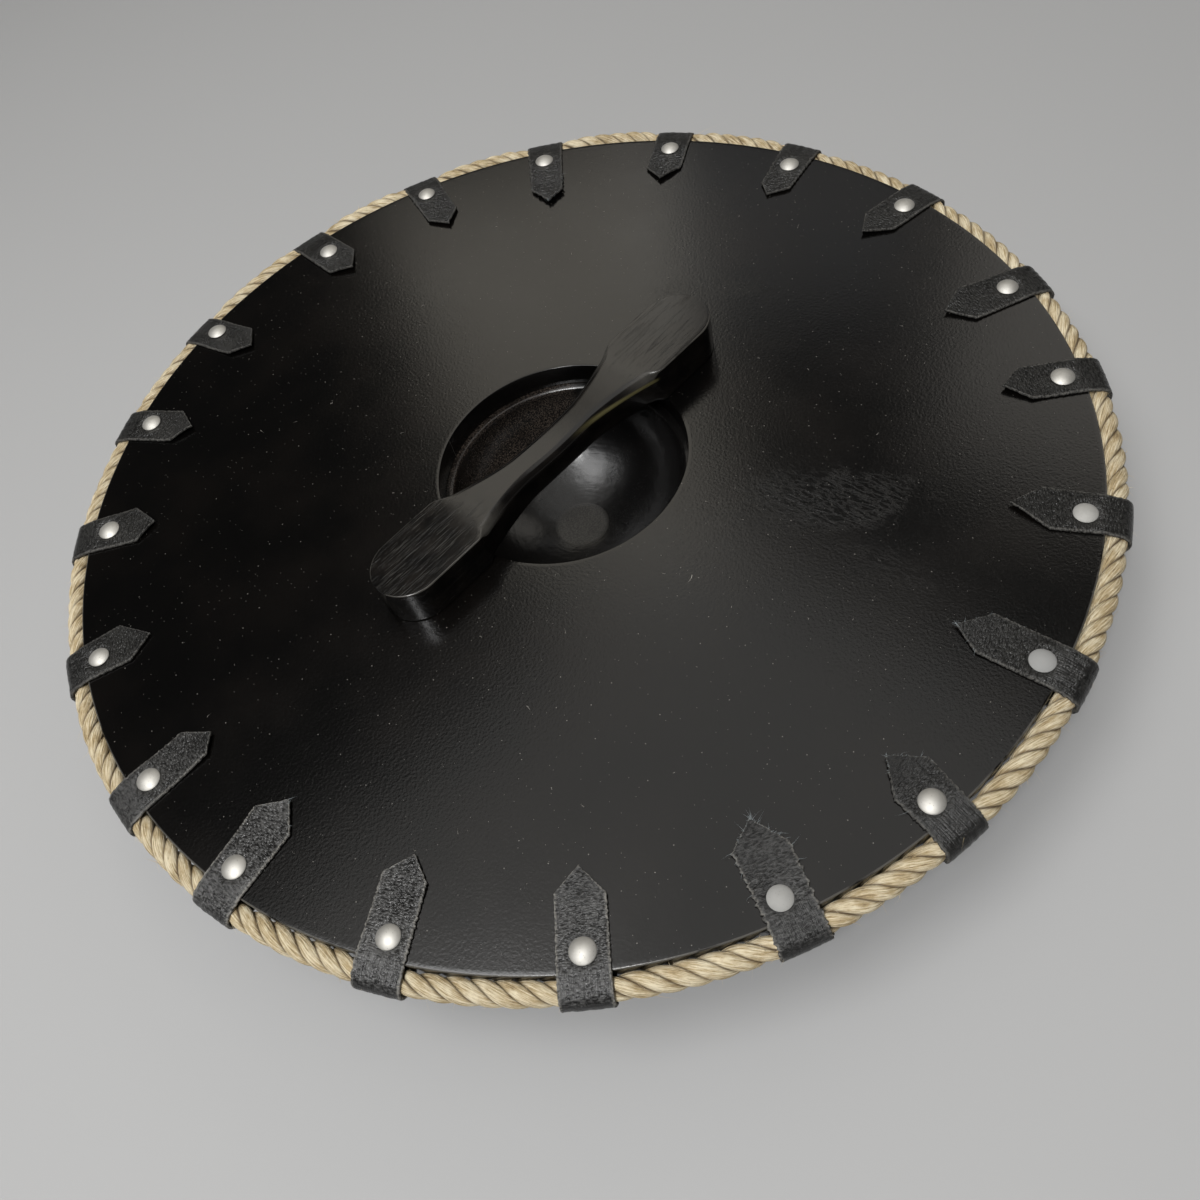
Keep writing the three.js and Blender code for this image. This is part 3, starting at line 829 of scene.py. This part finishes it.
def clip_grid(number):
    """The strap's section carried along its path, between the two edges of its plan, with the dent,
    creases and lift worked out from the distance to the rivet."""
    seed = int(number)
    (outward, aside), rivet_at, tip, (left_edge, right_edge) = clip_edges(number)
    path, length = clip_path(tip)
    radius, height = path[:, 0], path[:, 1]
    fray = PLAIN_FRAY + FRAYED_CLIPS.get(number, 0.0)
    left = np.interp(radius, *left_edge) + fray * ripple(seed, 0.004, length)
    right = np.interp(radius, *right_edge) + fray * ripple(seed + 50, 0.004, length)
    left += fray * ripple(seed + 70, 0.0016, length)
    right += fray * ripple(seed + 90, 0.0016, length)
    left = np.maximum(left, (left + right) / 2 + 0.0004)
    right = np.minimum(right, left - 0.0008)

    across, beyond, through = clip_section()
    edge_round = CUT_ROUND * LEATHER_THICKNESS
    middle = (left + right)[:, None] / 2
    half = (left - right)[:, None] / 2
    side = middle + (half - edge_round) * across + edge_round * beyond
    slope = unit(np.gradient(path, axis=0))
    face_out = np.stack([-slope[:, 1], slope[:, 0]], -1)
    outer = radius[:, None] + 0 * side
    up = np.where(height > 0, 1, -1)[:, None]
    from_rivet = np.hypot(outer - rivet_at, side)
    on_flap = smooth_step(board_radius - radius, 0.0, 0.004)[:, None]
    to_tip = smooth_step(rivet_at - radius, 0.006, rivet_at - tip)[:, None]

    # Creases across the strap towards its point, and along it from the rivet to the rope
    wrinkle = ripple(seed + 110, 0.0030, outer, 0.25 * side) * smooth_step(from_rivet, 0.006, 0.012)
    wrinkle = wrinkle * (0.3 + 0.7 * to_tip)
    drawn = ripple(seed + 130, 0.0034, side + 0 * outer, 0.12 * length[:, None]) * (1 - to_tip)
    drawn = drawn * smooth_step(outer, rivet_at + 0.002, rivet_at + 0.009)
    dent = -DENT_DEPTH * smooth_step(from_rivet, DENT_RADIUS + 0.0015, DENT_RADIUS - 0.0018)
    swell = DENT_SWELL * np.exp(-((from_rivet - DENT_RADIUS - 0.0022) / 0.0022) ** 2)
    outer_relief = CREASE * wrinkle + DRAWN_CREASE * drawn + (dent + swell) * on_flap
    chance = np.random.default_rng(200 + seed)
    curl = to_tip**2 * chance.uniform(*CURL)
    curl = curl + to_tip * FLAP_WAVE * (1 + ripple(seed + 150, 0.02, outer, side))
    edge_lift = to_tip * (side - middle) / half * chance.uniform(-EDGE_LIFT, EDGE_LIFT)
    lift = (curl + np.abs(edge_lift) + edge_lift) * on_flap

    thickness = through * LEATHER_THICKNESS / 2 + np.where(through > 0.5, outer_relief, 0)
    bend = side**2 / (2 * rope_ring) * (1 - on_flap)
    place_out = outer + face_out[:, :1] * thickness - bend
    place_up = height[:, None] + face_out[:, 1:] * thickness + lift * up
    flat = place_out[..., None] * outward + side[..., None] * aside
    grid = np.concatenate([flat, (board_middle + place_up)[..., None]], -1)

    pattern_side = np.concatenate([side, side[:, :1]], 1)
    pattern = np.stack([np.broadcast_to(length[:, None], pattern_side.shape), pattern_side], -1)
    pattern = pattern + 0.31 * seed
    ends = smooth_step(np.minimum(length, length[-1] - length), 0.0014, 0.0003)[:, None]
    cut = np.maximum((np.abs(beyond) > 0.1) | (np.abs(across) > 0.99), ends)
    marks = {
        "cut": cut,
        "inner": through < -0.9,
        "rough": ROUGH_CLIPS.get(number, 0.0) * (0.35 + 0.65 * to_tip),
        "drawn": (1 - to_tip) * smooth_step(outer, rivet_at - 0.004, rivet_at + 0.010),
        # Painted shade below the board's middle, and painted light on some clips
        "under": smooth_step(height, 0.006, 0.0)[:, None],
        "painted_light": PAINTED_LIGHT_CLIPS.get(number, 0.0),
    }
    return grid, pattern, marks


def black_leather():
    """Pebbled black leather, smooth where it is drawn over the rope, fibrous where it is rough, paler
    grey on some clips as painted light, darker below the board's middle as painted shade, with pale raw
    edges."""
    leather = Finish("black_leather", Specular_IOR_Level=0.45)
    strap = leather.pattern()
    place = leather.place()
    marks = ("cut", "inner", "rough", "drawn", "under", "painted_light")
    cut, inner, rough, drawn, under, painted_light = (leather.mark(name) for name in marks)
    warp = leather.noise(strap, 0.004, 2)
    cross_grain = leather.mapped(strap, size=(0.62, 1.25, 1))
    pebble = leather.node("TexVoronoi", {}, {"Vector": cross_grain, "Scale": 1 / 0.0014})
    fold = leather.noise(leather.mapped(strap, size=(0.6, 1.6, 1)), 0.0018, 2, 0.5)
    pull = leather.noise(leather.mapped(strap, size=(9, 1, 1)), 0.0009, 3, 0.6)
    fuzz = leather.noise(leather.mapped(strap, turn=(0, 0, 0.5), size=(3.2, 1, 1)), 0.00045, 4, 0.7, 0.8)
    cloud = leather.noise(place, 0.02, 3)

    grain = (fold * 1.5 - pebble * 0.45) * (1 - drawn * 0.7)
    height = grain * (1 - rough * 0.7) + fuzz * rough * 0.9 + pull * drawn * 0.7
    # Painted shade: the leather is darker below the board's middle, round the rope's underside and on the
    # front
    shade = leather.step(fold * 1.1 - pebble * 0.4 + cloud * 0.5 - warp * 0.1 - under * 0.5, 0.30, 0.80)
    # Painted light: some clips are paler grey, and their raw edges are paler too, as if more lit
    colour = leather.blend(shade, LEATHER_DARK_AND_SHADE, leather.blend(painted_light, LEATHER, LEATHER_PAINTED_LIGHT))
    colour = leather.blend(leather.step(fuzz, 0.58, 0.76) * rough * 0.10, colour, LEATHER_RAW)
    colour = leather.blend(leather.step(pull, 0.56, 0.72) * drawn * 0.08, colour, LEATHER_RAW)
    broken = leather.step(leather.noise(place, 0.0012, 3), 0.35, 0.6)
    colour = leather.blend(cut * broken * (0.35 + painted_light * 0.6), colour, LEATHER_RAW)
    colour = leather.blend(inner * 0.5, colour, LEATHER_RAW)
    relief = leather.bump(height, 0.0010)
    roughness = 0.24 + rough * 0.2 + cut * 0.3 - drawn * 0.04 + cloud * 0.08
    leather.set(Base_Color=colour, Roughness=roughness, Normal=relief)
    return leather


def loose_leather_fibres(grid, number):
    """Fibres that stand out from the cut edges of a strap, mostly near its point."""
    chance = np.random.default_rng(400 + int(number))
    count = FUZZY_CLIPS[number]
    row = (chance.beta(0.7, 2.5, count) * 50).astype(int)
    at_point = chance.integers(0, CLIP_BACK, count)
    at_side = chance.choice([0, CLIP_BACK - 1], count)
    root = grid[row, np.where(row < 2, at_point, at_side)]
    start = unit(root - grid[row + 4].mean(1))
    start = unit(start + chance.normal(size=(count, 3)) * [0.5, 0.5, 0.25])
    bend = chance.normal(size=(count, 3)) * 0.5
    length = chance.gamma(2.0, 0.0008, (count, 1)).clip(0.0006, 0.005)
    return fibre_tubes(root - 0.0002 * start, start, bend, length, 0.00020)


leather_finish = black_leather()
fuzz_finish = Finish("leather_fuzz", Roughness=0.8, Base_Color=LEATHER_FUZZ)
fuzz_grids = []
for number in CLIP_NUMBERS:
    grid, pattern, marks = clip_grid(number)
    if number in FUZZY_CLIPS:
        fuzz_grids.append(loose_leather_fibres(grid, number))
    clip = surface(f"clip_leather_{number}", grid[None], leather_finish, False, pattern[None], marks)
    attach(clip, "root")
    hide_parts(f"clip_{number}")
fuzz = surface("clip_loose_fibres", np.concatenate(fuzz_grids), fuzz_finish)
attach(fuzz, "root")

# The rivets: a nickel-plated post through the leather and the board, with a low domed cap pressed on at
# each face. The caps bed into the leather, each a little askew, and their plating is satin and spotted.

CAP_STEPS = 48
CAP_EDGE = 0.0005
CAP_BED = 0.0002
POST_RADIUS = 0.002
NICKEL = (0.62, 0.605, 0.565, 1)
NICKEL_DULL = (0.40, 0.385, 0.35, 1)
NICKEL_MATT = (0.27, 0.27, 0.265, 1)

# Rivets whose plating has gone matt, and how much
MATT_RIVETS = {"06": 0.5, "07": 1.0, "09": 0.75}


def rivet_grid(number):
    """A dome, part of a sphere with a small rolled edge, at each end of a straight post, all tipped by up
    to about a degree."""
    low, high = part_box(f"rivet_{number}")
    centre = rivet_centres[number]
    half = (high.z - low.z) / 2
    cap_radius = max(high.x - low.x, high.y - low.y) / 2
    seat = board_back - board_middle + LEATHER_THICKNESS - CAP_BED
    rise = half - seat - CAP_EDGE
    spread = cap_radius - 0.4 * CAP_EDGE
    sphere = (spread**2 + rise**2) / (2 * rise)
    reach = math.degrees(math.asin(spread / sphere))
    dome = arc((0, half - sphere), sphere, 90 - 0.4, 90 - reach, 14)
    edge = arc((spread, seat + CAP_EDGE), CAP_EDGE * 0.4, 60, -90, 5)
    upper = np.concatenate([dome, edge + [0, -0.6 * CAP_EDGE], [[POST_RADIUS, seat]]])
    lower = upper[::-1] * [1, -1]
    profile = np.concatenate([upper, level((POST_RADIUS, seat), (POST_RADIUS, -seat), 3), lower])
    chance = np.random.default_rng(300 + int(number))
    tip = Matrix.Rotation(math.radians(chance.uniform(0, 1.2)), 3, (chance.normal(), chance.normal(), 0))
    return turned(profile, CAP_STEPS) @ np.array(tip).T + np.array(centre)


def nickel_plate():
    """Satin nickel with faint spots and rubbing, or flat grey where the plating has gone matt."""
    nickel = Finish("nickel_plate")
    place = nickel.place()
    matt = nickel.mark("matt")
    cloud = nickel.noise(place, 0.006, 3)
    scratch = nickel.noise(nickel.mapped(place, size=(6, 1, 1)), 0.0004, 2)
    spots = nickel.specks(place, 0.0016, 0.00022, 0.25)
    colour = nickel.blend(nickel.step(cloud, 0.4, 0.8) * 0.45 | spots * 0.8, NICKEL, NICKEL_DULL)
    colour = nickel.blend(matt * 0.9, colour, NICKEL_MATT)
    relief = nickel.bump(scratch * 0.1 + cloud, 0.0001)
    roughness = 0.60 + cloud * 0.08 + spots * 0.2 + matt * 0.3
    nickel.set(Base_Color=colour, Metallic=1 - matt * 0.85, Roughness=roughness, Normal=relief)
    return nickel


nickel_finish = nickel_plate()
for number in CLIP_NUMBERS:
    matt = {"matt": MATT_RIVETS.get(number, 0.0)}
    rivet = surface(f"rivet_cap_{number}", rivet_grid(number)[None], nickel_finish, marks=matt)
    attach(rivet, "root")
    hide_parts(f"rivet_{number}")

# The lint: short pale fibres of dust that lie scattered on the board's bare back, and one longer curl of
# rope fibre beside the hand hole.

LINT = 60
LINT_THICK = 0.00018
LINT_REACH = 0.250
LINT_LIFT = 0.00006
LINT_CLEAR = 0.006
LINT_PALE = (0.50, 0.47, 0.42, 1)


def lint_tubes():
    """Fibres that lie flat at random places on the board, clear of the handle, the hole and the clips.
    The first of them is the longer curl."""
    chance = np.random.default_rng(77)
    away = np.sqrt(chance.uniform((hole_radius + 0.008) ** 2, LINT_REACH**2, 3 * LINT))
    turn = chance.uniform(0, 2 * math.pi, 3 * LINT)
    height = np.full(3 * LINT, board_back + LINT_LIFT)
    place = np.stack([away * np.cos(turn), away * np.sin(turn), height], -1)
    clear_along = np.abs(place[:, 0] - handle_middle) > handle_half + LINT_CLEAR
    clear_across = np.abs(place[:, 1]) > paddle_half + LINT_CLEAR
    root = place[clear_along | clear_across][:LINT]
    turn = chance.uniform(0, 2 * math.pi, LINT)
    start = np.stack([np.cos(turn), np.sin(turn), 0 * turn], -1)
    bend = np.stack([-np.sin(turn), np.cos(turn), 0 * turn], -1) * chance.uniform(-0.7, 0.7, (LINT, 1))
    length = chance.gamma(1.6, 0.0009, (LINT, 1)).clip(0.0004, 0.005)
    root[0] = (-0.0167, -0.1169, board_back + 0.0001)
    start[0] = (-0.75, -0.66, 0)
    bend[0] = (-0.25, 0.45, 0)
    length[0] = 0.0055
    thickness = np.full((LINT, 1, 1, 1), LINT_THICK)
    thickness[0] = 0.0004
    return fibre_tubes(root, start, bend, length, thickness)


lint = surface("dust_lint", lint_tubes(), Finish("lint", Roughness=0.9, Base_Color=LINT_PALE))
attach(lint, "root")

# The stage: a plain pale floor that sweeps up into a low backdrop all round, soft lamps, and the camera
# where the photographer stood.

FLOOR_RADIUS = 3.6
SWEEP_RADIUS = 0.7
SWEEP_TOP = 0.9
FLOOR_THICK = 0.05
FLOOR_STEPS = 96
FLOOR_PALE = (0.40, 0.40, 0.40, 1)
FLOOR_DARK = (0.35, 0.35, 0.35, 1)
WARM = (1, 0.94, 0.82)
PALE_WARM = (1, 0.95, 0.87)
CREAM = (1, 0.98, 0.94)
ROOM_GREY = (0.03, 0.03, 0.03, 1)

floor_finish = Finish("plain_floor", Specular_IOR_Level=0.1)
floor_mottle = floor_finish.noise(floor_finish.place(), 0.4, 3)
floor_colour = floor_finish.blend(floor_mottle * 0.2, FLOOR_PALE, FLOOR_DARK)
floor_finish.set(Base_Color=floor_colour, Roughness=0.9)
sweep = np.concatenate([
    level((0.001, 0), (FLOOR_RADIUS, 0), 6),
    arc((FLOOR_RADIUS, SWEEP_RADIUS), SWEEP_RADIUS, -90, 0, 16),
    [[FLOOR_RADIUS + SWEEP_RADIUS, SWEEP_TOP], [FLOOR_RADIUS + SWEEP_RADIUS + FLOOR_THICK, SWEEP_TOP]],
    arc((FLOOR_RADIUS, SWEEP_RADIUS), SWEEP_RADIUS + FLOOR_THICK, 0, -90, 16),
    level((FLOOR_RADIUS, -FLOOR_THICK), (0.001, -FLOOR_THICK), 6),
])
floor = surface("floor", turned(sweep, FLOOR_STEPS)[None], floor_finish)


def lamp(name, azimuth, elevation, distance, size, brightness, facing, colour=(1, 1, 1)):
    """A soft rectangular lamp in a direction from the board's middle; azimuth 0 is on +Y and 90 on +X.
    facing is the elevation that its back points to: 0 for an upright window and 90 for a ceiling."""
    light = bpy.data.lights.new(name, "AREA")
    light.shape = "RECTANGLE"
    light.size, light.size_y = size
    light.energy = 4 * size[0] * size[1] * brightness
    light.color = colour
    lamp_object = bpy.data.objects.new(name, light)
    bpy.context.scene.collection.objects.link(lamp_object)

    def direction(lift):
        turn, lift = math.radians(azimuth), math.radians(lift)
        return Vector((math.sin(turn) * math.cos(lift), math.cos(turn) * math.cos(lift), math.sin(lift)))

    lamp_object.location = Vector((0, 0, board_middle)) + distance * direction(elevation)
    lamp_object.rotation_euler = direction(facing).to_track_quat("Z", "Y").to_euler()


lamp("key_lamp", -74, 69, 2.4, (1.05, 1.05), 4.6, 69)
lamp("camera_side_lamp", 240, 56, 2.6, (0.34, 1.0), 38.0, 56)
lamp("window_lamp", 35.4, 46, 3.5, (0.90, 2.1), 1.05, 0, WARM)
lamp("wall_lamp", 52, 37, 3.4, (1.0, 0.9), 0.32, 0)
lamp("side_window_lamp", 79.5, 42, 3.3, (1.2, 1.5), 0.9, 0, PALE_WARM)
lamp("ceiling_lamp", 35, 83, 2.42, (2.26, 2.2), 0.71, 90, CREAM)

world = bpy.data.worlds.new("dim_room")
world.use_nodes = True
world.node_tree.nodes["Background"].inputs["Color"].default_value = ROOM_GREY
bpy.context.scene.world = world
bpy.context.scene.view_settings.view_transform = "Standard"

CAMERA_PLACE = (-0.2333, -0.3710, 0.5645)
CAMERA_HEADING = 31.60
CAMERA_PITCH = 55.775
CAMERA_ROLL = -18.04
PHOTO_SIDE = 1200
FOCAL_PIXELS = 1095.4

camera_data = bpy.data.cameras.new("camera")
camera_data.sensor_width = 36
camera_data.lens = camera_data.sensor_width * FOCAL_PIXELS / PHOTO_SIDE
camera = bpy.data.objects.new("camera", camera_data)
camera.matrix_world = (
    Matrix.Translation(CAMERA_PLACE)
    @ Matrix.Rotation(math.radians(-CAMERA_HEADING), 4, "Z")
    @ Matrix.Rotation(math.radians(90 - CAMERA_PITCH), 4, "X")
    @ Matrix.Rotation(math.radians(CAMERA_ROLL), 4, "Z")
)
camera_data.clip_start = 0.01
bpy.context.scene.collection.objects.link(camera)
bpy.context.scene.camera = camera
